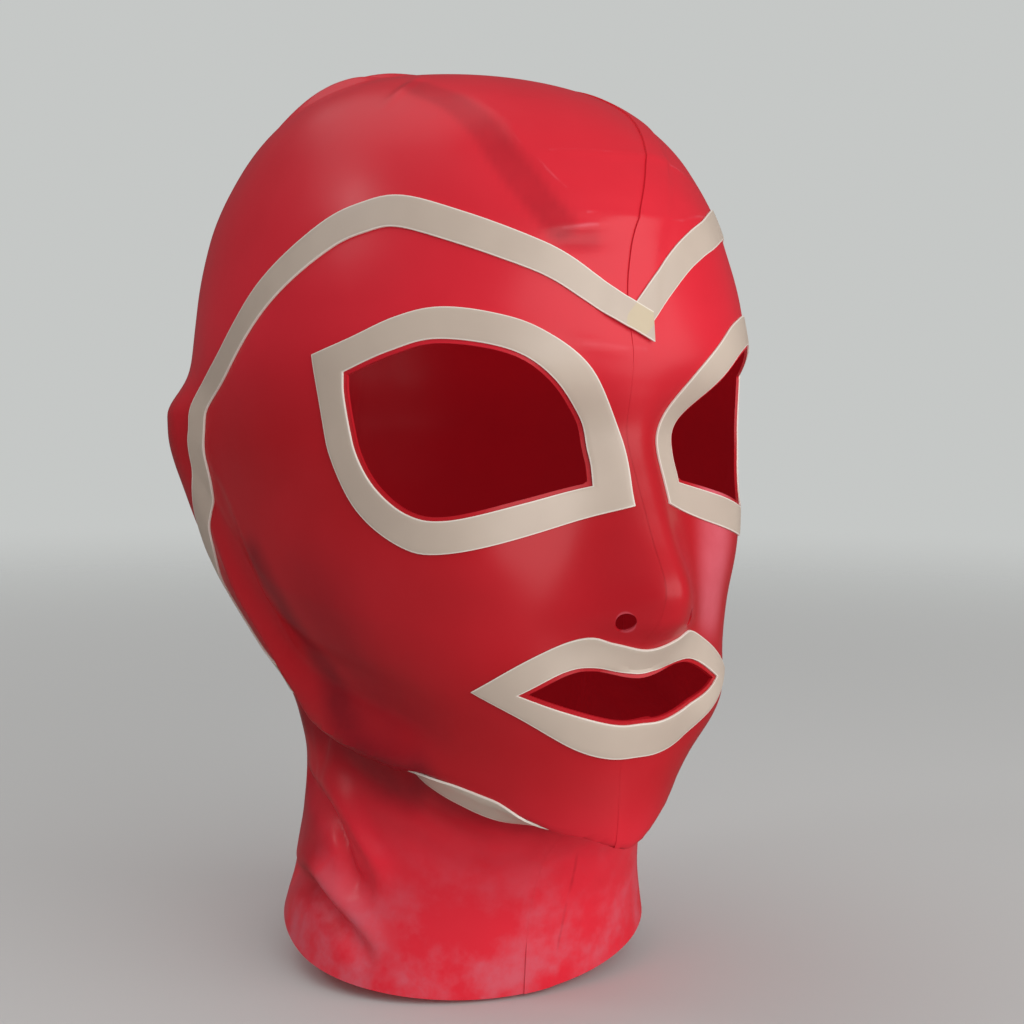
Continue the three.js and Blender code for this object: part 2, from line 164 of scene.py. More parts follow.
# Folds and creases of the stretched sheet. Each stands out by "rise", or sinks in where that is negative,
# and dies away over "above" and "below". Its line runs from the wearer's right to the left through
# points of turn, down and share of the full rise.
Fold = namedtuple("Fold", "name above below rise line")
FOLDS = [
    Fold("left lip gape", 11, 11, 3, [(10, 181, 0), (18, 181, 1), (32, 181, 1), (40, 181, 0)]),
    Fold("valley under the jaw", 3.5, 4, -2, [
        (-84, 204, 0), (-70.5, 206.5, 1), (-48.5, 210.5, 1), (-32, 215, 0.8), (-18, 217, 0)]),
    Fold("neck crease", 3, 4, -3.4, [
        (-116, 213, 0), (-107.5, 215, 0.8), (-83, 219.5, 1),
        (-76, 226.5, 1), (-71, 234, 0.6), (-68, 241, 0)]),
    Fold("neck bulge", 5, 5, 2.8, [
        (-98, 210, 0), (-80, 212.5, 1), (-67, 220, 1), (-60, 229, 0.7), (-56, 238, 0)]),
    Fold("low crease", 3, 4.5, -3, [
        (-128, 244, 0), (-112, 243, 0.8), (-91.5, 242, 1),
        (-74.5, 248, 1), (-66, 253, 0.8), (-59, 259, 0)]),
    Fold("low bulge", 4, 4, 1.8, [
        (-112, 235, 0), (-90, 235.5, 1), (-76, 241, 1), (-66, 246, 0.8), (-57, 254, 0)]),
    Fold("neck dimple", 4, 4, -2.2, [(-76, 235, 0), (-68, 236, 1), (-60, 237, 0)]),
    Fold("far side of the chin", 11, 12, -9, [
        (-4, 208, 0), (6, 208, 0.5), (16, 208, 1), (34, 205, 1), (52, 201, 0)]),
    Fold("left neck valley", 5, 5, -1.5, [(30, 221, 0), (40, 219, 1), (60, 216, 1), (104, 216, 0)]),
    Fold("forehead band", 5, 7, -0.8, [
        (-47, 9, 0), (-33, 14.7, 1), (-25, 23, 1), (-21, 32, 1), (-17, 41, 1), (-13, 50, 0)]),
    Fold("forehead band edge", 1.8, 1.8, 0.6, [
        (-33, 9, 0), (-20.7, 19.8, 0.7), (-17.7, 28, 1), (-13.9, 35, 1), (-9.7, 42.5, 0)]),
    Fold("upper cross crease", 1.8, 1.8, 0.45, [
        (-16, 31, 0), (-12.2, 30.1, 0.6), (-1.9, 29.6, 1), (10, 29.3, 1), (20, 31.2, 1), (30.7, 39, 0)]),
    Fold("lower cross crease", 1.8, 1.8, 0.4, [
        (-12, 46.5, 0), (-8, 47, 1), (1.4, 47.6, 1), (11, 47.4, 1), (22, 45.5, 0)]),
    Fold("short crease", 1.6, 1.6, 0.7, [(-16, 51.5, 0), (-12.6, 51.1, 1), (-6.8, 50.1, 1), (-2, 49.5, 0)]),
    Fold("short hollow", 2.5, 3, -0.6, [(-15, 54.8, 0), (-11.5, 54.5, 1), (-6.5, 54.2, 1), (-3, 54, 0)]),
    Fold("brow crease", 2, 2.5, 0.6, [(-14, 79.5, 0), (-10.7, 80.6, 1), (-6, 81.8, 1), (0.5, 83, 0)]),
]

# Radii in millimetres at which turns are taken as distances: for folds, and for outlines on the face.
FOLD_RADIUS = 65
FACE_RADIUS = 85

# The pleat that runs round under the jaw, as a cross-section measured down from the pleat's line: a hollow,
# a ridge above the band, the pocket that the band lies in, and how far the sheet hangs down there.
Pleat = namedtuple("Pleat", "at hollow ridge pocket hang")
PLEAT = [
    Pleat(-36, 0, 0, 0, 0),
    Pleat(-24, -2, 0, 0, 0),
    Pleat(-17, -4.5, 0, 0, 0.3),
    Pleat(-12, -4.5, 0.5, 0, 1.5),
    Pleat(-8, -1.5, 2.5, 0, 5),
    Pleat(-5, 0, 4.5, 0, 9),
    Pleat(-3.5, 0, 3.5, 0, 9),
    Pleat(0, 0, 0.5, -2, 4.5),
    Pleat(4, 0, 0, -4.5, 0),
    Pleat(7, 0, 0, -6.5, -2),
    Pleat(12, 0, 0, -4.5, -2),
    Pleat(20, 0, 0, -1, -1),
    Pleat(30, 0, 0, 0, 0),
]

# The pleat's line round the jaw, with the share that each of these has there.
PleatLine = namedtuple("PleatLine", "turn down hollow ridge pocket hang")
PLEAT_LINE = [
    PleatLine(-116, 134, 0, 0, 0, 0),
    PleatLine(-107, 149, 0, 0, 0, 0),
    PleatLine(-99.5, 165.5, 0.3, 0.45, 0.4, 0),
    PleatLine(-94, 174, 0.7, 0.15, 0.7, 0.3),
    PleatLine(-89, 180.3, 1, 0.1, 0.9, 0.6),
    PleatLine(-78, 185.4, 1, 0.5, 1, 1),
    PleatLine(-63, 188.5, 1, 1, 1, 1),
    PleatLine(-46, 192.7, 0.7, 0.8, 1, 0.9),
    PleatLine(-38, 197, 0.3, 0.35, 0.7, 0.45),
    PleatLine(-30, 201.5, 0, 0.1, 0.5, 0.28),
    PleatLine(-24, 204.3, 0, 0, 0.4, 0.28),
    PleatLine(-18, 205, 0, 0, 0.6, 0.6),
    PleatLine(-12, 205.5, 0, 0, 0.8, 0.95),
    PleatLine(0, 210.5, 0, 0, 0.9, 1),
    PleatLine(12, 205.5, 0, 0, 0.8, 0.8),
    PleatLine(24, 204.5, 0, 0, 0.4, 0.3),
    PleatLine(38, 197, 0.3, 0.3, 0.7, 0.4),
    PleatLine(46, 192.7, 0.6, 0.6, 0.8, 0.6),
    PleatLine(63, 188.5, 0.8, 0.7, 0.8, 0.7),
    PleatLine(78, 185.4, 0.8, 0.4, 0.8, 0.7),
    PleatLine(89, 180.3, 0.7, 0.1, 0.7, 0.5),
    PleatLine(94, 174, 0.5, 0.1, 0.5, 0.2),
    PleatLine(99.5, 165.5, 0.2, 0.3, 0.3, 0),
    PleatLine(107, 149, 0, 0, 0, 0),
    PleatLine(116, 134, 0, 0, 0, 0),
]

# Gathers over the crown, as lines of x, y and share of their rise, seen from above. They fade out at a depth.
Gather = namedtuple("Gather", "half rise line")
GATHERS = [
    Gather(2.8, 2.2, [(-30, -6, 0), (-38, 0, 1), (-46, 8, 1), (-55, 18, 0)]),
    Gather(2.8, 2.0, [(-18, -6, 0), (-28, 2, 1), (-38, 14, 1), (-46, 26, 0)]),
    Gather(2.6, 1.6, [(-8, -4, 0), (-18, 6, 1), (-26, 20, 1), (-32, 34, 0)]),
    Gather(1.8, 0.6, [(-46, -34, 0), (-40, -31, 1), (-33, -27, 1), (-26, -20, 0)]),
]
GATHER_DEPTH = 40
GATHER_FADE = 10

# Soft tones of the sheet, pale where the share is positive: half width, softness, share,
# and a line of turn and down. The layer under the forehead and the powder are the sheet's own; the deep tones
# in the hollow, the creases and under the jaw and chin are painted shade, and the pale patches on the far
# cheek and brow are painted sheen, with powder on the cheek.
Tone = namedtuple("Tone", "name half soft share line")
TONES_AND_SHADES = [
    Tone("layer under the forehead", 4.2, 1.6, -0.36, [
        (-47, 9), (-33, 14.7), (-25, 23), (-21, 32), (-17, 41), (-13, 50)]),
    # Painted shade in the short hollow.
    Tone("short hollow", 2.6, 2.2, -0.3, [(-13, 54.5), (-8, 54.2)]),
    # Powder with painted sheen on the far cheek, and painted sheen on the far brow.
    Tone("powder and painted sheen on the far cheek", 8, 6, 0.6, [(22, 122), (22, 135), (19, 152)]),
    Tone("painted sheen on the far brow", 10, 9, 0.25, [(44, 30), (52, 44)]),
    # Painted shade: these deep tones darken the cheek, the jaw fold, the sheet under the jaw and chin and the
    # neck creases.
    Tone("painted shade on the cheek", 12, 11, -0.45, [(-62, 150), (-56, 172), (-44, 184)]),
    Tone("painted shade above the jaw fold", 5, 5, -0.9, [
        (-84, 142), (-79, 155), (-74, 170), (-64, 180), (-52, 187), (-40, 193)]),
    Tone("painted shade under the chin", 4.5, 4.5, -0.6, [(-40, 203), (-28, 208), (-14, 212.5), (0, 215)]),
    Tone("painted shade beside the neck crease", 9, 8, -0.5, [(-116, 220), (-104, 227), (-94, 233)]),
    Tone("painted shade under the jaw", 5, 5, -0.8, [(-104, 194), (-84, 200), (-64, 204), (-46, 208)]),
    Tone("painted shade on the low crease", 4, 4, -0.35, [(-110, 246), (-91, 245), (-76, 250)]),
    Tone("powder beside the low crease", 6, 6, 0.4, [(-82, 238), (-70, 243), (-62, 250)]),
]

# Fine creases: half width, softness, how much lighter or darker, how high, and a line of turn and down.
# Lighter ones are painted highlights along the crease ridges; darker ones mark the lap's buried edges.
Crease = namedtuple("Crease", "name half soft share rise line")
CREASES = [
    Crease("edge of the layer", 0.3, 0.3, 0.25, 0.3, [
        (-20.7, 19.8), (-17.7, 28), (-13.9, 35), (-11, 40)]),
    Crease("upper cross crease", 0.35, 0.35, 0.2, 0.2, [
        (-12.2, 30.1), (-1.9, 29.6), (10, 29.3), (20, 31.2), (30.7, 39)]),
    Crease("lower cross crease", 0.35, 0.35, 0.2, 0.2, [(-8, 47), (1.4, 47.6), (11, 47.4), (22, 45.5)]),
    Crease("short crease", 0.5, 0.5, 0.35, 0.3, [(-12.6, 51.1), (-6.8, 50.1)]),
    Crease("edge of the under lap", 0.5, 0.4, -0.25, 0, [(20, 25), (16, 31), (7.7, 46), (4.6, 56)]),
    Crease("edge of the under lap on the neck", 0.5, 0.4, -0.45, 0, [
        (2.5, 226.5), (4, 238), (3, 250), (0.5, 266)]),
    Crease("brow crease", 0.6, 0.6, 0.15, 0.3, [(-10.7, 80.6), (-6, 81.8), (0.5, 83)]),
]

# Cut-out and strip outlines for one side, corner to corner over the top and back underneath.
Outline = namedtuple("Outline", "over under")
EYE_OPEN = Outline(
    over=[(50, 88.7), (41.5, 83.2), (33.8, 80.1), (23.6, 82.5),
          (16.5, 89.3), (9.8, 100.2), (8.6, 110), (9, 118)],
    under=[(9, 118), (21.5, 122.5), (34.4, 126.8), (40.9, 125.6),
           (45.6, 119.1), (48.1, 109), (49.8, 95.7), (50, 88.7)],
)
EYE_STRIP = Outline(
    over=[(57, 84.2), (49, 79.8), (40.7, 74.4), (33.6, 71.9), (25.7, 73.2),
          (18.3, 77.4), (9.7, 88.2), (3.8, 105), (4, 123)],
    under=[(4, 123), (18.5, 129.8), (35, 135.4), (43, 134.1),
           (50.5, 125), (53.4, 110.4), (55.4, 94.8), (57, 84.2)],
)
MOUTH_OPEN = Outline(
    over=[(20, 172.3), (12.6, 166), (7.9, 165), (2.5, 167), (0, 167.5)],
    under=[(0, 180.5), (5, 180.2), (13, 176.4), (20, 172.3)],
)
MOUTH_STRIP = Outline(
    over=[(27.6, 172), (18.5, 163), (10.2, 157), (5.7, 158.3), (0, 160.3)],
    under=[(0, 190), (5, 189.5), (11, 186.3), (19.5, 178.5), (27.6, 172)],
)

# Middle line of the face band from the forehead V to the chin, with its height on each side.
Band = namedtuple("Band", "turn right left")
BAND = [
    Band(0, 75, 73.2),
    Band(4.5, 71.2, 65),
    Band(9, 66.3, 58.4),
    Band(13.3, 61.5, 54.3),
    Band(18, 57.8, 51.3),
    Band(28.2, 51.7, 46.8),
    Band(39.5, 46.8, 45.5),
    Band(47, 48, 48),
    Band(56, 53, 53),
    Band(72, 68, 68),
    Band(85.4, 85.6, 85.6),
    Band(95, 97, 97),
    Band(97, 108, 108),
    Band(100, 119.6, 119.6),
    Band(106.2, 131.4, 131.4),
    Band(111, 143, 143),
    Band(117, 153, 153),
    Band(119, 164, 164),
    Band(113, 176.5, 176.5),
    Band(96, 184.5, 184.5),
    Band(78, 188.3, 188.3),
    Band(63, 191.5, 191.5),
    Band(46, 196.3, 196.3),
    Band(38, 199, 199),
    Band(30, 201.8, 201.8),
    Band(24, 204.3, 204.3),
    Band(18, 206.8, 206.8),
    Band(12, 209.5, 209.5),
    Band(0, 214.5, 214.5),
]

# The seam: how far its middle lies to the wearer's left down the front and the back,
# how wide the halves lap there and how high the lapped edge stands.
Seam = namedtuple("Seam", "down front back lap step")
SEAM = [
    Seam(-30, 30, 30, 9, 0.5),
    Seam(12, 30, 30, 9, 0.5),
    Seam(23, 23, 27, 9, 0.5),
    Seam(31, 17, 24, 9, 0.5),
    Seam(46, 7, 19, 9, 0.5),
    Seam(56, 2.5, 16, 9, 0.45),
    Seam(70, 0, 12, 8, 0.3),
    Seam(90, 0.4, 9, 7, 0.03),
    Seam(120, 1, 4, 7, 0.03),
    Seam(165, -1, 0, 7, 0.03),
    Seam(210, -2.8, 0, 7, 0.03),
    Seam(230, -4.4, 0, 8, 0.03),
    Seam(250, -4.9, 0, 8, 0.03),
    Seam(257, -5, 0, 8, 0.35),
    Seam(300, -5, 0, 8, 0.35),
]
SEAM_TOP = 12

# Where the seam is looked for: turns at the front and the back, and heights over the crown.
FRONT_TURNS = (-40, 75)
BACK_TURNS = (105, 220)
CROWN_DOWNS = (0.1, 40)

# How the right band climbs over the left one in the V: the height of the crossing, how much turn and height
# count as distance from it, the distance at which the climb starts and the length of its slope.
Climb = namedtuple("Climb", "down per_turn per_down start slope")
CLIMB = Climb(down=74, per_turn=1.6, per_down=0.8, start=13, slope=5)


# The form

def monotone(xs, ys):
    """A smooth curve through points that keeps their rises and falls."""
    xs, ys = np.array(xs, float), np.array(ys, float)
    step = np.diff(xs)
    slope = np.diff(ys) / step
    before, after = 2 * step[1:] + step[:-1], step[1:] + 2 * step[:-1]
    same = slope[:-1] * slope[1:] > 0
    left, right = np.where(same, slope[:-1], 1), np.where(same, slope[1:], 1)
    mean = (before + after) / (before / left + after / right)
    tangent = np.concatenate([slope[:1], np.where(same, mean, 0), slope[-1:]])

    def curve(t):
        i = np.clip(np.searchsorted(xs, t, side="right") - 1, 0, len(step) - 1)
        u = (t - xs[i]) / step[i]
        v = 1 - u
        ends = ys[i] * (1 + 2 * u) * v * v + ys[i + 1] * u * u * (3 - 2 * u)
        return ends + step[i] * (tangent[i] * u * v * v - tangent[i + 1] * u * u * v)

    return curve


def column(rows, name, at="down", shape=float):
    return monotone([shape(getattr(r, at)) for r in rows], [getattr(r, name) for r in rows])


section_at = {name: column(SECTIONS, name, shape=math.sqrt) for name in Section._fields[1:]}
nose_at = {name: column(NOSE, name) for name in Nose._fields[1:]}
seam_at = {name: column(SEAM, name) for name in Seam._fields[1:]}
pleat_at = {name: column(PLEAT, name, "at") for name in Pleat._fields[1:]}
pleat_line = {name: column(PLEAT_LINE, name, "turn") for name in PleatLine._fields[1:]}


def smoothstep(t):
    t = np.clip(t, 0, 1)
    return t * t * (3 - 2 * t)


def swell(a, b=0):
    return np.exp(-SWELL_FALL * (a * a + b * b))


def spline(points, count):
    """Evenly spaced points on a smooth line through the given ones."""
    p = np.array(points, float)
    p = np.vstack([2 * p[0] - p[1], p, 2 * p[-1] - p[-2]])
    fine = []
    for i in range(1, len(p) - 2):
        t = np.linspace(0, 1, 24, endpoint=False)[:, None]
        a, b, c, d = p[i - 1], p[i], p[i + 1], p[i + 2]
        fine.append(0.5 * (2 * b + (c - a) * t + (2 * a - 5 * b + 4 * c - d) * t ** 2
                           + (3 * b - a - 3 * c + d) * t ** 3))
    fine = np.vstack([*fine, p[-2:-1]])
    length = np.concatenate([[0], np.cumsum(np.hypot(*np.diff(fine[:, :2], axis=0).T))])
    at = np.linspace(0, length[-1], count)
    return np.stack([np.interp(at, length, fine[:, k]) for k in range(p.shape[1])], axis=1)


def ridge_size(line, above, below, px, py):
    """How much of a fold there is at points of a plane, from a line of x, y and share."""
    size = np.zeros_like(px)
    reach = 2.2 * max(above, below)
    low, high = line[:, :2].min(0) - reach, line[:, :2].max(0) + reach
    near = (px > low[0]) & (px < high[0]) & (py > low[1]) & (py < high[1])
    if not near.any():
        return size
    p = np.stack([px[near], py[near]], axis=1)[:, None, :]
    start, along = line[:-1, :2], np.diff(line[:, :2], axis=0)
    part = np.clip(((p - start) * along).sum(-1) / (along * along).sum(-1), 0, 1)
    gap = p - (start + part[..., None] * along)
    distance = np.linalg.norm(gap, axis=-1)
    best = distance.argmin(axis=1)
    pick = np.arange(len(best))
    lower = along[best, 0] * gap[pick, best, 1] > along[best, 1] * gap[pick, best, 0]
    share = line[best, 2] + part[pick, best] * (line[best + 1, 2] - line[best, 2])
    half = np.where(lower, below, above)
    size[near] = swell(distance[pick, best] / half) * np.clip(share, 0, None)
    return size


FOLD_LINES = [spline(fold.line, 60) * (math.radians(FOLD_RADIUS), 1, 1) for fold in FOLDS]
GATHER_LINES = [spline(gather.line, 30) for gather in GATHERS]


def pleat_lean(turn):
    """Turns a height over the pleat's line into a distance across it."""
    reach = 3
    height = pleat_line["down"]
    low, high = np.clip((turn - reach, turn + reach), PLEAT_LINE[0].turn, PLEAT_LINE[-1].turn)
    slope = (height(high) - height(low)) / np.radians(high - low) / FOLD_RADIUS
    return 1 / np.sqrt(1 + slope * slope)


def outside(turn, down):
    """Points of the form's outside in millimetres, for turns in degrees."""
    turn, down = np.broadcast_arrays(np.asarray(turn, float), np.asarray(down, float))
    root = np.sqrt(np.maximum(down, 0))
    front, back, half, middle, square = (section_at[n](root) for n in Section._fields[1:])
    sin, cos = np.sin(np.radians(turn)), np.cos(np.radians(turn))
    depth = np.maximum(np.where(cos > 0, front + middle, back - middle), 1e-6)
    share = smoothstep((cos + FRONT_BLEND) / (2 * FRONT_BLEND))
    power = square * share + BACK_SQUARE * (1 - share)
    inverse = np.abs(sin / np.maximum(half, 1e-6)) ** power + np.abs(cos / depth) ** power
    radius = inverse ** (-1 / power)
    wrapped = (turn + 180) % 360 - 180
    beside = np.clip(wrapped, PLEAT_LINE[0].turn, PLEAT_LINE[-1].turn)
    at = np.clip((down - pleat_line["down"](beside)) * pleat_lean(beside), PLEAT[0].at, PLEAT[-1].at)
    for name in ("hollow", "ridge", "pocket"):
        radius = radius + pleat_line[name](beside) * pleat_at[name](at)
    drop = pleat_line["hang"](beside) * pleat_at["hang"](at)
    across = np.radians(wrapped) * FOLD_RADIUS
    for fold, line in zip(FOLDS, FOLD_LINES):
        radius = radius + fold.rise * ridge_size(line, fold.above, fold.below, across, down)
    x, y = radius * sin, middle - radius * cos
    facing = np.clip(2 * cos, 0, 1)
    at = np.clip(down, NOSE[0].down, NOSE[-1].down)
    y = y - facing * nose_at["rise"](at) * np.exp(-NOSE_FALL * (x / nose_at["half"](at)) ** 2)
    for form in FORMS:
        tall = (down - form.down) / form.half_down
        size = swell((x - form.x) / form.half_x, tall)
        if form.x:
            size = size + swell((x + form.x) / form.half_x, tall)
        y = y - facing * form.rise * size
    tall = (down - EAR.down) / np.where(down < EAR.down, EAR.half_up, EAR.half_low)
    side = np.clip(2 * np.abs(sin) - 0.6, 0, 1)
    x = x + np.sign(sin) * EAR.rise * swell((y - EAR.y) / EAR.half_y, tall) * side
    z = CAD_WALL - down - drop
    crown = smoothstep((GATHER_DEPTH - down) / GATHER_FADE)
    for gather, line in zip(GATHERS, GATHER_LINES):
        z = z + gather.rise * crown * ridge_size(line, gather.half, gather.half, x, y)
    return np.stack([x, y, z], axis=-1)


def outward(turn, down):
    """Normals of the form's outside."""
    reach = 0.4
    low = np.maximum(down, reach + 0.05)
    round_it = outside(turn + 0.5, low) - outside(turn - 0.5, low)
    fall = outside(turn, low + reach) - outside(turn, low - reach)
    normal = np.cross(fall, round_it)
    return normal / np.linalg.norm(normal, axis=-1, keepdims=True)


def hem_at(turn):
    return HEM.mean + HEM.front * np.cos(np.radians(turn)) + HEM.left * np.sin(np.radians(turn))


def seam_side(point, down, turn):
    """How far a point lies to the wearer's left of the seam's middle line."""
    front = np.cos(np.radians(turn)) > 0
    return point[..., 0] - np.where(front, seam_at["front"](down), seam_at["back"](down))


def lap_faces(side, beside, down):
    """Heights over the form of a half's outer and inner faces, thinned where the halves lap."""
    lap, step = seam_at["lap"](down), seam_at["step"](down)
    deep = SKIN - step + LAP_GLUE
    into = beside + lap / 2
    if side == "left":
        outer = step * smoothstep((lap + LAP_RAMP - into) / LAP_RAMP)
        thinned = deep * np.clip((into - LAP_FLAT) / (lap - LAP_FLAT), 0, 1)
        return outer, outer - (step - LAP_GLUE) - thinned
    outer = -deep * np.clip((into - LAP_FLAT / 2) / (lap - LAP_FLAT), 0, 1)
    return outer, outer - SKIN


# The flat pattern

LEVELS = np.linspace(0, 1, 400) ** 2 * 1.25 * HEM.mean


def fall_lengths():
    """Length along the sheet from the crown to each level, on an average line."""
    root = np.sqrt(np.minimum(LEVELS, SECTIONS[-1].down))
    radius = (section_at["half"](root) + (section_at["front"](root) + section_at["back"](root)) / 2) / 2
    pieces = np.hypot(np.diff(radius), np.diff(LEVELS))
    return np.concatenate([[0], np.cumsum(pieces)])


LENGTHS = fall_lengths()
FULL_LENGTH = np.interp(HEM.mean, LEVELS, LENGTHS)


def to_flat(turn, down):
    """Places on the flat pattern, in metres, of points of the hood."""
    length = np.interp(np.asarray(down) * HEM.mean / hem_at(turn), LEVELS, LENGTHS)
    return np.stack([np.radians(turn) * FLAT_RADIUS, -length], axis=-1) * MM


def from_flat(flat):
    """The turns and heights that places on the flat pattern have on the hood."""
    turn = np.degrees(flat[:, 0] / MM / FLAT_RADIUS)
    down = np.interp(-flat[:, 1] / MM, LENGTHS, LEVELS) * hem_at(turn) / HEM.mean
    return turn, down


# Modelling steps

def points_of(obj):
    co = np.empty(len(obj.data.vertices) * 3)
    obj.data.vertices.foreach_get("co", co)
    return co.reshape(-1, 3)


def put_points(obj, points):
    obj.data.vertices.foreach_set("co", np.asarray(points, float).ravel())
    obj.data.update()


def grid(name, columns, rows):
    """A unit grid, with x and y from 0 to 1."""
    bpy.ops.object.select_all(action="DESELECT")
    bpy.ops.mesh.primitive_grid_add(x_subdivisions=columns, y_subdivisions=rows, size=1)
    obj = bpy.context.object
    obj.name = obj.data.name = name
    put_points(obj, points_of(obj) + (0.5, 0.5, 0))
    return obj


def only(obj):
    bpy.ops.object.select_all(action="DESELECT")
    obj.select_set(True)
    bpy.context.view_layer.objects.active = obj


def apply_modifier(obj, kind, **settings):
    only(obj)
    modifier = obj.modifiers.new(kind.lower(), kind)
    for key, value in settings.items():
        setattr(modifier, key, value)
    bpy.ops.object.modifier_apply(modifier=modifier.name)


def prism(outline, turn_by=0):
    """A cutter: a closed outline on the flat pattern, carried through the slab."""
    outline = np.asarray(outline) + (turn_by, 0)
    bpy.ops.object.select_all(action="DESELECT")
    bpy.ops.mesh.primitive_circle_add(vertices=len(outline), fill_type="NGON")
    cutter = bpy.context.object
    flat = to_flat(outline[:, 0], outline[:, 1])
    put_points(cutter, np.column_stack([flat, np.full(len(flat), -3 * SLAB * MM)]))
    bpy.ops.object.mode_set(mode="EDIT")
    bpy.ops.mesh.select_all(action="SELECT")
    bpy.ops.mesh.extrude_region_move(TRANSFORM_OT_translate={"value": (0, 0, 5 * SLAB * MM)})
    bpy.ops.mesh.select_all(action="SELECT")
    bpy.ops.mesh.normals_make_consistent(inside=False)
    bpy.ops.object.mode_set(mode="OBJECT")
    return cutter


def cut(obj, cutter, operation="DIFFERENCE"):
    apply_modifier(obj, "BOOLEAN", object=cutter, operation=operation, solver="EXACT")
    bpy.data.objects.remove(cutter)


def drop_walls(obj, at):
    """Deletes the slab's side walls that lie on the given flat x values or at the crown."""
    only(obj)
    bpy.ops.object.mode_set(mode="EDIT")
    bpy.ops.mesh.select_mode(type="FACE")
    bpy.ops.mesh.select_all(action="DESELECT")
    bpy.ops.object.mode_set(mode="OBJECT")
    for polygon in obj.data.polygons:
        x, y, z = polygon.center
        edge = y > -1e-6 or any(abs(x - value) < 1e-6 for value in at)
        polygon.select = edge and abs(polygon.normal.z) < 0.5
    bpy.ops.object.mode_set(mode="EDIT")
    bpy.ops.mesh.delete(type="FACE")
    bpy.ops.object.mode_set(mode="OBJECT")


def weld(obj, distance):
    only(obj)
    bpy.ops.object.mode_set(mode="EDIT")
    bpy.ops.mesh.select_all(action="SELECT")
    bpy.ops.mesh.remove_doubles(threshold=distance)
    bpy.ops.mesh.normals_make_consistent(inside=False)
    bpy.ops.object.mode_set(mode="OBJECT")


def finish_piece(obj, node, material):
    only(obj)
    bpy.ops.object.shade_smooth_by_angle(angle=math.radians(SHARP_ANGLE))
    obj.data.materials.clear()
    obj.data.materials.append(material)
    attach(obj, "root")
    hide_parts(node)


# The two halves of the skin

def root_between(function, limits, count):
    """Where a rising function of an array crosses zero, between two limits."""
    low, high = (np.full(count, float(limit)) for limit in limits)
    for _ in range(40):
        middle = (low + high) / 2
        short = function(middle) < 0
        low, high = np.where(short, middle, low), np.where(short, high, middle)
    return (low + high) / 2


def seam_line(by):
    """The seam's line up the front and down the back, moved to the wearer's left by a share of the lap."""
    def beside(turn, down):
        return seam_side(outside(turn, down), down, turn) - by * seam_at["lap"](down)

    down = np.concatenate([np.arange(SEAM[-1].down, SEAM_TOP, -2.0), [SEAM_TOP]])
    front = root_between(lambda turn: beside(turn, down), FRONT_TURNS, len(down))
    back = root_between(lambda turn: -beside(turn, down), BACK_TURNS, len(down))
    over = np.linspace(front[-1], back[-1], 60)[1:-1]
    height = root_between(lambda level: beside(over, level), CROWN_DOWNS, len(over))
    turn = np.concatenate([front, over, back[::-1]])
    return np.column_stack([turn, np.concatenate([down, height, down[::-1]])])


def outline_of(shape):
    return np.vstack([spline(shape.over, CUT_POINTS)[:-1], spline(shape.under, CUT_POINTS)[:-1]])


def both_halves(shape):
    """Upper and lower lines of an outline that is given for one half, from corner to corner."""
    flip = [(-turn, down) for turn, down in reversed(shape.over[:-1])]
    back = [(-turn, down) for turn, down in reversed(shape.under[1:])]
    return Outline(over=shape.over + flip, under=back + shape.under)


def mirrored(shape):
    return Outline(*([(-turn, down) for turn, down in line] for line in shape))


def moved(shape, by):
    return Outline(*([(turn + by, down) for turn, down in line] for line in shape))


def inset(outline, by):
    """A closed outline moved inwards along the sheet, without the loops that sharp corners make."""
    scale = np.array((math.radians(1) * FACE_RADIUS, 1))
    line = outline * scale
    after = np.roll(line, -1, axis=0)
    along = after - np.roll(line, 1, axis=0)
    along /= np.linalg.norm(along, axis=1, keepdims=True)
    area = np.sum(line[:, 0] * after[:, 1] - after[:, 0] * line[:, 1])
    inner = line + np.sign(area) * by * np.column_stack([-along[:, 1], along[:, 0]])
    gaps = np.linalg.norm(inner[:, None] - line[None], axis=2).min(axis=1)
    return inner[gaps > 0.98 * by] / scale


def nostril_outline(side):
    angle = np.linspace(0, 2 * math.pi, 28, endpoint=False)
    turn = side * NOSTRIL.turn + NOSTRIL.half_turn * np.cos(angle)
    return np.column_stack([turn, NOSTRIL.down + NOSTRIL.half_down * np.sin(angle)])


def cut_outs():
    eye_left = outline_of(moved(EYE_OPEN, EYE_TURN))
    eye_right = outline_of(moved(mirrored(EYE_OPEN), EYE_TURN))
    mouth = outline_of(moved(both_halves(MOUTH_OPEN), MOUTH_TURN))
    return [inset(eye_left, EDGE), inset(eye_right, EDGE), inset(mouth, EDGE),
            nostril_outline(1), nostril_outline(-1)]


def paint_tones_and_shades(obj):
    """Keeps how pale or deep the sheet is at each point for its material: its tones, painted shade and
    painted sheen.
    """
    points = points_of(obj) / MM
    share = np.zeros(len(points))
    for tone_and_shade in TONES_AND_SHADES:
        line = outside(*spline(tone_and_shade.line, 40).T)
        gaps = np.linalg.norm(points[:, None] - line[None], axis=2).min(axis=1)
        share += tone_and_shade.share * (1 - smoothstep((gaps - tone_and_shade.half + tone_and_shade.soft) / (2 * tone_and_shade.soft)))
    obj.data.attributes.new("tone_and_shade", "FLOAT", "POINT").data.foreach_set("value", share)


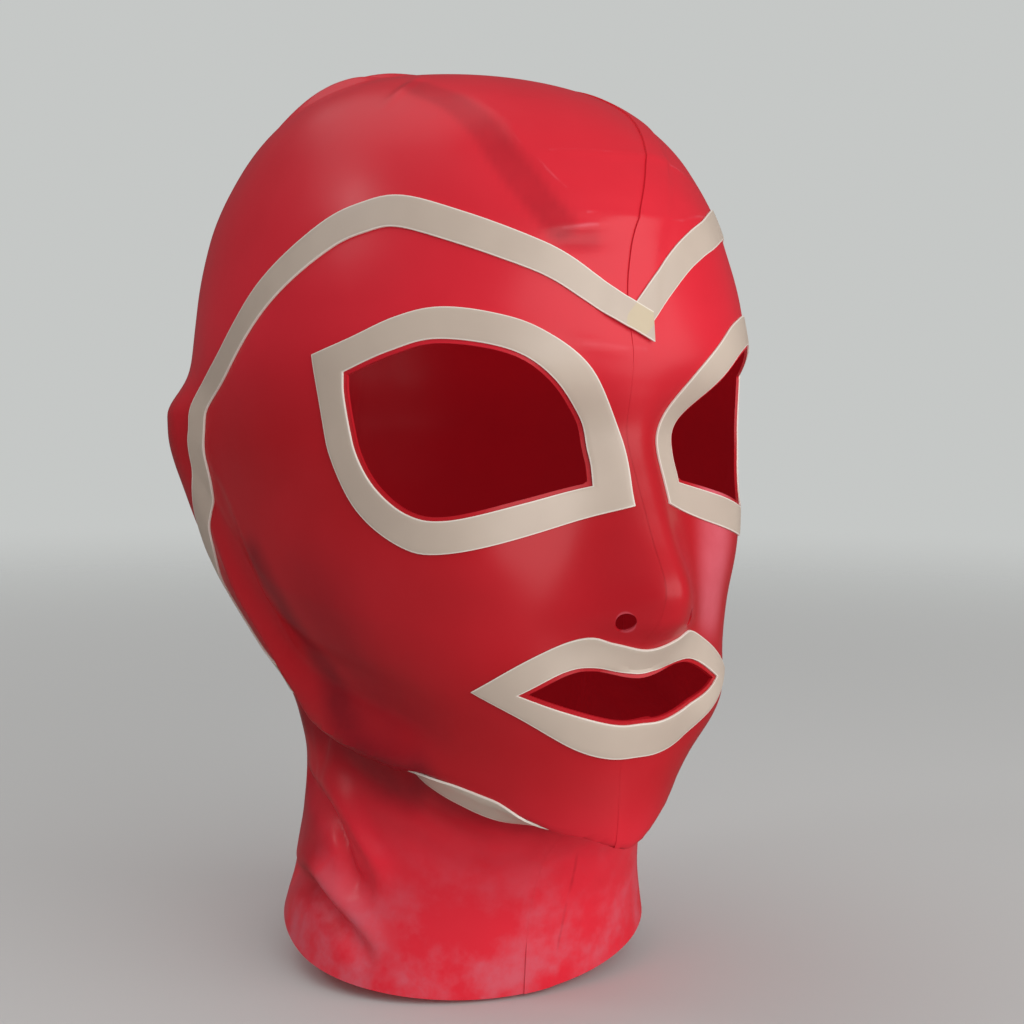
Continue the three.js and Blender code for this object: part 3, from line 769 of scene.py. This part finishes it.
def skin_half(side, material):
    """One half of the skin: a flat slab, cut to its outline and wrapped on the form."""
    first = -90 if side == "left" else -270
    obj = grid("skin_" + side, COLUMNS, ROWS)
    flat = points_of(obj)
    width = 2 * math.pi * FLAT_RADIUS
    flat[:, 0] = (math.radians(first) * FLAT_RADIUS + flat[:, 0] * width) * MM
    flat[:, 1] = (flat[:, 1] - 1) * FULL_LENGTH * MM
    ends = flat[:, 0].min(), flat[:, 0].max()
    put_points(obj, flat)
    apply_modifier(obj, "SOLIDIFY", thickness=SLAB * MM, offset=-1)
    if side == "left":
        cut(obj, prism(seam_line(-0.5)), "INTERSECT")
    else:
        other = seam_line(0.5)
        cut(obj, prism(other))
        cut(obj, prism(other, -360))
    for outline in cut_outs():
        cut(obj, prism(outline))
    drop_walls(obj, ends)
    flat = points_of(obj)
    turn, down = from_flat(flat)
    inner = flat[:, 2] < -0.5 * SLAB * MM
    base = outside(turn, down)
    outer_lift, inner_lift = lap_faces(side, seam_side(base, down, turn), down)
    lift = np.where(inner, inner_lift, outer_lift)
    put_points(obj, (base + lift[:, None] * outward(turn, down)) * MM)
    obj.data.attributes.new("inside", "FLOAT", "POINT").data.foreach_set("value", inner.astype(float))
    weld(obj, SKIN_WELD)
    paint_tones_and_shades(obj)
    finish_piece(obj, "panel_" + side, material)
    return obj


# The strips

def strip_lift(turn, down):
    """Height of the skin's outer face over the form, with its lap."""
    base = outside(turn, down)
    beside = seam_side(base, down, turn)
    lift = lap_faces("left", beside, down)[0]
    return lift * smoothstep(beside / 2 + seam_at["lap"](down) / 4 + 1)


def lay_strip(name, edge_a, edge_b, closed, lift_more=None):
    """A thin strip between two lines of (turn, down) points, laid on the skin."""
    along = len(edge_a) - 1
    obj = grid(name, along, STRIP_CELLS)
    unit = points_of(obj)
    place = np.rint(unit[:, 0] * along).astype(int)
    spot = edge_a[place] * (1 - unit[:, 1:2]) + edge_b[place] * unit[:, 1:2]
    turn, down = spot[:, 0], spot[:, 1]
    lift = strip_lift(turn, down) + GLUE
    if lift_more is not None:
        lift = lift + lift_more(turn, down)
    base, normal = outside(turn, down), outward(turn, down)
    put_points(obj, (base + lift[:, None] * normal) * MM)
    obj.data.attributes.new("across", "FLOAT", "POINT").data.foreach_set("value", unit[:, 1])
    only(obj)
    bpy.ops.object.mode_set(mode="EDIT")
    bpy.ops.mesh.select_all(action="SELECT")
    if closed:
        bpy.ops.mesh.remove_doubles(threshold=STRIP_WELD)
    bpy.ops.mesh.normals_make_consistent(inside=False)
    bpy.ops.object.mode_set(mode="OBJECT")
    polygon = obj.data.polygons[0]
    corner = points_of(obj)[polygon.vertices[0]]
    nearest = np.argmin(np.linalg.norm(corner - base * MM, axis=1))
    if Vector(normal[nearest]).dot(polygon.normal) < 0:
        bpy.ops.object.mode_set(mode="EDIT")
        bpy.ops.mesh.flip_normals()
        bpy.ops.object.mode_set(mode="OBJECT")
    apply_modifier(obj, "SOLIDIFY", thickness=STRIP * MM, offset=1, use_even_offset=True)
    apply_modifier(obj, "BEVEL", width=ROUNDING * MM, segments=2, limit_method="ANGLE",
                   angle_limit=math.radians(ROUNDED_ANGLE), use_clamp_overlap=True)
    return obj


def ring_edge(shape):
    return np.vstack([spline(shape.over, RING_POINTS)[:-1], spline(shape.under, RING_POINTS)])


def ring_strip(name, opening, rim, node, material):
    obj = lay_strip(name, ring_edge(opening), ring_edge(rim), True)
    finish_piece(obj, node, material)
    return obj


def band_path(side):
    way = 1 if side == "left" else -1
    rows = [(way * row.turn, getattr(row, side)) for row in BAND]
    (start, height), (after, lower) = rows[:2]
    end = BAND_END[side]
    rows[0] = (end, height + (lower - height) * (end - start) / (after - start))
    return spline(rows, BAND_POINTS)


def band_edges(side):
    """The two edges of one half of the face band."""
    line = band_path(side)
    along = np.gradient(line, axis=0)
    spread = np.hypot(*(outside(line[:, 0], line[:, 1])[:, k] for k in (0, 1)))
    scale = np.column_stack([np.radians(1) * spread, np.ones(len(line))])
    along = along * scale
    along /= np.linalg.norm(along, axis=1, keepdims=True)
    across = np.column_stack([-along[:, 1], along[:, 0]])
    upright = [len(line) - 1] + ([0] if side == "right" else [])
    for i in upright:
        across[i] = (0, 1 / along[i, 0])
    half = BAND_TIP + (BAND_HALF - BAND_TIP) * smoothstep(np.arange(len(line)) / TIP_STEPS)
    reach = half[:, None] * across / scale
    return line + reach, line - reach


def over_other(turn, down):
    """The right band climbs over the left one where they cross in the V."""
    reach = np.hypot(turn * CLIMB.per_turn, (down - CLIMB.down) * CLIMB.per_down)
    return (STRIP + GLUE) * smoothstep((CLIMB.start - reach) / CLIMB.slope)


def face_band(side, material):
    edge_a, edge_b = band_edges(side)
    more = over_other if side == "right" else None
    obj = lay_strip("band_" + side, edge_a, edge_b, False, more)
    finish_piece(obj, "face_band_" + side, material)
    return obj


# Materials

class Shade:
    """An output of a shader node. Arithmetic on it adds Math nodes."""

    def __init__(self, tree, output):
        self.tree = tree
        self.output = output

    def node(self, kind, settings=None, sockets=None, output=0):
        made = self.tree.nodes.new(kind)
        for name, value in (settings or {}).items():
            setattr(made, name, value)
        for name, value in (sockets or {}).items():
            if isinstance(value, Shade):
                self.tree.links.new(value.output, made.inputs[name])
            else:
                made.inputs[name].default_value = value
        return Shade(self.tree, made.outputs[output])

    def math(self, operation, *values, clamp=False):
        settings = {"operation": operation, "use_clamp": clamp}
        return self.node("ShaderNodeMath", settings, dict(enumerate(values)))

    def __add__(self, other):
        return self.math("ADD", self, other)

    def __sub__(self, other):
        return self.math("SUBTRACT", self, other)

    def __rsub__(self, other):
        return self.math("SUBTRACT", other, self)

    def __mul__(self, other):
        return self.math("MULTIPLY", self, other)

    __radd__ = __add__
    __rmul__ = __mul__

    def clamp(self):
        return self.math("ADD", self, 0, clamp=True)

    def size(self):
        return self.math("ABSOLUTE", self)

    def vector(self, operation, *values, output=0):
        return self.node("ShaderNodeVectorMath", {"operation": operation}, dict(enumerate(values)), output)

    def scaled(self, vector):
        """A vector made longer or shorter by this shade."""
        return self.node("ShaderNodeVectorMath", {"operation": "SCALE"}, {0: vector, "Scale": self})

    def step(self, low, high):
        """From 0 at low to 1 at high, smoothly."""
        settings = {"interpolation_type": "SMOOTHSTEP"}
        sockets = {"Value": self, "From Min": low, "From Max": high}
        return self.node("ShaderNodeMapRange", settings, sockets)

    def blend(self, base, other):
        """Mixes two colours by this shade."""
        return self.node("ShaderNodeMix", {"data_type": "RGBA"}, {0: self, 6: base, 7: other}, output=2)

    def noise(self, scale, detail=2, rough=0.5, output="Fac"):
        """A cloudy pattern on these coordinates."""
        sockets = {"Vector": self, "Scale": scale, "Detail": detail, "Roughness": rough}
        return self.node("ShaderNodeTexNoise", None, sockets, output)

    def away(self, line):
        """Distance of these coordinates from a line through points."""
        nearest = None
        for start, end in zip(line, line[1:]):
            way = Vector(end) - Vector(start)
            from_start = self.vector("SUBTRACT", self, start)
            scale = way / way.length_squared
            share = self.vector("DOT_PRODUCT", from_start, scale, output="Value").clamp()
            gap = self.vector("DISTANCE", from_start, share.scaled(way), output="Value")
            nearest = gap if nearest is None else nearest.math("MINIMUM", nearest, gap)
        return nearest

    def attribute(self, name):
        """A value kept on the mesh."""
        return self.node("ShaderNodeAttribute", {"attribute_name": name}, None, "Fac")

    def rays(self, kind):
        """Whether the light's path is of a kind."""
        return self.node("ShaderNodeLightPath", output=kind)

    def bump(self, strength, distance):
        """A normal for this relief."""
        sockets = {"Strength": strength, "Distance": distance, "Height": self}
        return self.node("ShaderNodeBump", None, sockets)

    def part(self, axis):
        return self.node("ShaderNodeSeparateXYZ", None, {0: self}, output="XYZ".index(axis))


def new_material(name):
    """A new material with its surface shader, and its object coordinates."""
    material = bpy.data.materials.new(name)
    material.use_nodes = True
    tree = material.node_tree
    surface = tree.nodes["Principled BSDF"]
    place = Shade(tree, tree.nodes.new("ShaderNodeTexCoord").outputs["Object"])
    return material, surface, place


def connect(shade, surface, name):
    shade.tree.links.new(shade.output, surface.inputs[name])


def on_skin(line):
    """Places in metres of points of turn and down."""
    line = np.array(line, float)
    return [tuple(point) for point in outside(line[:, 0], line[:, 1]) * MM]


# The red sheet: its deeper red, and the lighter red that is painted light over the brow and on the neck; its
# pale colour for powder and painted highlights and sheen, its deep colour for tones and painted shade, and
# its bloom.
RED_DEEP = (0.50, 0.009, 0.016, 1)
RED_PAINTED_LIGHT = (0.86, 0.024, 0.047, 1)
PALE_POWDER_AND_HIGHLIGHT = (0.80, 0.17, 0.22, 1)
DEEP_TONE_AND_SHADE = (0.30, 0.006, 0.014, 1)
POWDER = (0.68, 0.18, 0.24, 1)

# A painted glow on the inside faces, standing in for the light that the thin sheet lets through.
PAINTED_GLOW_INSIDE = (0.05, 0.0015, 0.003, 1)
UNLIT = (0, 0, 0, 1)

# Heights in metres between which the red is painted lighter over the brow and on the neck, as painted light,
# and those over which the powdery bloom fades out above the hem.
PAINTED_LIGHT_BROW = (-0.11, -0.07)
PAINTED_LIGHT_NECK = (-0.225, -0.195)
POWDERED = (-0.262, -0.21)

# The strips: their two mottled tones, the place where they lie double, and the painted highlight along their
# cut edges.
CREAM = (0.56, 0.45, 0.37, 1)
CREAM_LIGHT = (0.62, 0.505, 0.415, 1)
CREAM_LAPPED = (0.62, 0.50, 0.31, 1)
CREAM_EDGE_HIGHLIGHT = (0.92, 0.85, 0.77, 1)

# How far the fine creases wander from their lines, in metres.
WAVER = 0.003


def red_latex():
    material, surface, place = new_material("red_latex")
    height = place.part("Z")
    # Painted light: the red is made lighter over the brow and on the neck, deeper between them.
    painted_light = 0.7 * height.step(*PAINTED_LIGHT_BROW) + 1 - height.step(*PAINTED_LIGHT_NECK)
    cloud = place.noise(22, 3).step(0.3, 0.7)
    colour = (0.85 * painted_light + 0.15 * cloud).clamp().blend(RED_DEEP, RED_PAINTED_LIGHT)
    # The kept tones: paler for powder and painted sheen, deeper for the layer under the forehead and for
    # painted shade.
    mottle = 0.5 + place.noise(70, 4, 0.6)
    tone_and_shade = place.attribute("tone_and_shade") * mottle
    colour = tone_and_shade.clamp().blend(colour, PALE_POWDER_AND_HIGHLIGHT)
    colour = (-1 * tone_and_shade).clamp().blend(colour, DEEP_TONE_AND_SHADE)
    relief = place.noise(45, 2) + 0.05 * place.noise(700, 2)
    waver = place.vector("SUBTRACT", place.noise(60, 1, output="Color"), (0.5, 0.5, 0.5))
    bent = place.vector("MULTIPLY_ADD", waver, (WAVER, WAVER, WAVER), place)
    broken = place.noise(90, 2).step(0.35, 0.6)
    # Painted highlights along the lighter creases, and darker lines along the lap's buried edges.
    for crease in CREASES:
        low, high = (crease.half - crease.soft) * MM, (crease.half + crease.soft) * MM
        mask = (1 - bent.away(on_skin(crease.line)).step(low, high)) * broken
        colour = (mask * abs(crease.share)).blend(colour, PALE_POWDER_AND_HIGHLIGHT if crease.share > 0 else DEEP_TONE_AND_SHADE)
        if crease.rise:
            relief = relief + mask * crease.rise
    # A painted highlight round the rim of each nostril.
    for side in (1, -1):
        turn, down = side * NOSTRIL.turn, NOSTRIL.down
        middle = on_skin([(turn, down - 0.3), (turn, down + 0.3)])
        radius = NOSTRIL.half_down * MM
        rim = 1 - place.away(middle).step(radius, radius + NOSTRIL.rim * MM)
        colour = (rim * 0.35).blend(colour, PALE_POWDER_AND_HIGHLIGHT)
    low = 1 - height.step(*POWDERED)
    powder = (low * place.noise(60, 5, 0.6).step(0.4, 0.72) * 0.55).clamp()
    colour = powder.blend(colour, POWDER)
    connect(colour, surface, "Base Color")
    # A painted glow on the inside faces.
    connect(place.attribute("inside").step(0.5, 1).blend(UNLIT, PAINTED_GLOW_INSIDE), surface, "Emission Color")
    surface.inputs["Emission Strength"].default_value = 1
    material.cycles.emission_sampling = "NONE"
    surface.inputs["Specular IOR Level"].default_value = 0.3
    connect(0.28 + 0.1 * place.noise(90, 3) + 0.25 * powder, surface, "Roughness")
    connect(relief.bump(0.15, 0.0015), surface, "Normal")
    return material


def cream_latex(name, lapped=False):
    material, surface, place = new_material(name)
    cloud = place.noise(30, 3)
    colour = cloud.step(0.3, 0.7).blend(CREAM, CREAM_LIGHT)
    if lapped:
        under = on_skin([(-1, BAND[0].left + 2), (BAND[1].turn, BAND[1].left)])
        double = 1 - place.away(under).step((BAND_HALF - 0.2) * MM, BAND_HALF * MM)
        colour = (double * 0.7).blend(colour, CREAM_LAPPED)
    # A painted highlight along the strips' cut edges.
    across = place.attribute("across")
    edge = (across - 0.5).size().step(0.44, 0.49)
    colour = (edge * 0.8).blend(colour, CREAM_EDGE_HIGHLIGHT)
    connect(colour, surface, "Base Color")
    connect(0.4 + 0.1 * place.noise(120, 3), surface, "Roughness")
    connect(place.noise(60, 3).bump(0.1, 0.001), surface, "Normal")
    return material


# Floor, light and camera

Camera = namedtuple("Camera", "azimuth elevation roll distance lens target")
CAMERA = Camera(-31.6, 4.85, 0.4, 0.520, 58.68, (0.0128, -0.0079, -0.1307))

# Places and sizes in metres, and power in watts. All of them point at the camera's target.
Lamp = namedtuple("Lamp", "name place size power")
LAMPS = [
    Lamp("lamp", (-0.28, 0.52, 0.98), (0.9, 0.9), 1.8),
    Lamp("glint", (-0.78, 0.26, 0.58), (0.2, 0.2), 0.8),
    Lamp("window", (0.3, -1.28, 0.1), (2.0, 1.5), 20.5),
]

# The floor is darker where the sheet mirrors it, and fades out between two distances from the hood.
FLOOR = (0.60, 0.60, 0.59, 1)
FLOOR_MIRRORED = (0.15, 0.14, 0.13, 1)
FLOOR_RADIUS = 8
FLOOR_FADE = (0.45, 1.5)
FLOOR_GAP = 1

# The room's light from below and from above, what the sheet mirrors of it and what the camera sees.
ROOM_LOW = (0.10, 0.10, 0.10, 1)
ROOM_HIGH = (0.62, 0.62, 0.62, 1)
ROOM_MIRRORED = (0.09, 0.09, 0.09, 1)
ROOM_SEEN = (0.56, 0.575, 0.565, 1)


def make_floor(height):
    bpy.ops.object.select_all(action="DESELECT")
    bpy.ops.mesh.primitive_circle_add(vertices=96, radius=FLOOR_RADIUS, fill_type="NGON",
                                      location=(0, 0, height))
    floor = bpy.context.object
    floor.name = "floor"
    bpy.ops.object.transform_apply(location=True, rotation=True, scale=True)
    material, surface, place = new_material("pale_floor")
    surface.inputs["Roughness"].default_value = 0.9
    connect(place.rays("Is Glossy Ray").blend(FLOOR, FLOOR_MIRRORED), surface, "Base Color")
    far = place.vector("LENGTH", place, output="Value").step(*FLOOR_FADE)
    connect(1 - far, surface, "Alpha")
    floor.data.materials.append(material)


def make_lamps():
    for lamp in LAMPS:
        light = bpy.data.lights.new(lamp.name, "AREA")
        light.shape = "RECTANGLE"
        light.size, light.size_y = lamp.size
        light.energy = lamp.power
        obj = bpy.data.objects.new(lamp.name, light)
        bpy.context.scene.collection.objects.link(obj)
        obj.location = lamp.place
        aim = Vector(CAMERA.target) - Vector(lamp.place)
        obj.rotation_euler = aim.to_track_quat("-Z", "Y").to_euler()


def make_room():
    world = bpy.data.worlds.new("room")
    world.use_nodes = True
    tree = world.node_tree
    background = tree.nodes["Background"]
    way = Shade(tree, tree.nodes.new("ShaderNodeTexCoord").outputs["Generated"])
    light = way.part("Z").step(-0.2, 1).blend(ROOM_LOW, ROOM_HIGH)
    light = way.rays("Is Glossy Ray").blend(light, ROOM_MIRRORED)
    connect(way.rays("Is Camera Ray").blend(light, ROOM_SEEN), background, "Color")
    bpy.context.scene.world = world


def make_camera():
    a, e, r = (math.radians(v) for v in CAMERA[:3])
    back = Vector((math.sin(a) * math.cos(e), -math.cos(a) * math.cos(e), math.sin(e)))
    right = Vector((math.cos(a), math.sin(a), 0))
    up = back.cross(right)
    across = right * math.cos(r) + up * math.sin(r)
    over = up * math.cos(r) - right * math.sin(r)
    data = bpy.data.cameras.new("camera")
    data.sensor_width = 36
    data.lens = CAMERA.lens
    data.clip_start = 0.01
    camera = bpy.data.objects.new("camera", data)
    bpy.context.scene.collection.objects.link(camera)
    matrix = Matrix((across, over, back)).transposed().to_4x4()
    matrix.translation = Vector(CAMERA.target) + back * CAMERA.distance
    camera.matrix_world = matrix
    bpy.context.scene.camera = camera


make_camera()
red, cream = red_latex(), cream_latex("cream_latex")
skins = {side: skin_half(side, red) for side in ("right", "left")}
bands = {
    "right": face_band("right", cream_latex("lapped_cream_latex", lapped=True)),
    "left": face_band("left", cream),
}
eye, eye_rim = moved(EYE_OPEN, EYE_TURN), moved(EYE_STRIP, EYE_TURN)
eyes = {"left": ring_strip("eye_strip_left", eye, eye_rim, "eye_trim_left", cream)}
eye, eye_rim = moved(mirrored(EYE_OPEN), EYE_TURN), moved(mirrored(EYE_STRIP), EYE_TURN)
eyes["right"] = ring_strip("eye_strip_right", eye, eye_rim, "eye_trim_right", cream)
mouth, lips = moved(both_halves(MOUTH_OPEN), MOUTH_TURN), moved(both_halves(MOUTH_STRIP), MOUTH_TURN)
mouth_strip = ring_strip("mouth_strip", mouth, lips, "mouth_trim", cream)
for side in ("right", "left"):
    glued = [bands[side], eyes[side]] + ([mouth_strip] if side == "right" else [])
make_floor(cad_box[0].z - FLOOR_GAP * MM)
make_lamps()
make_room()
bpy.context.scene.view_settings.view_transform = "Standard"
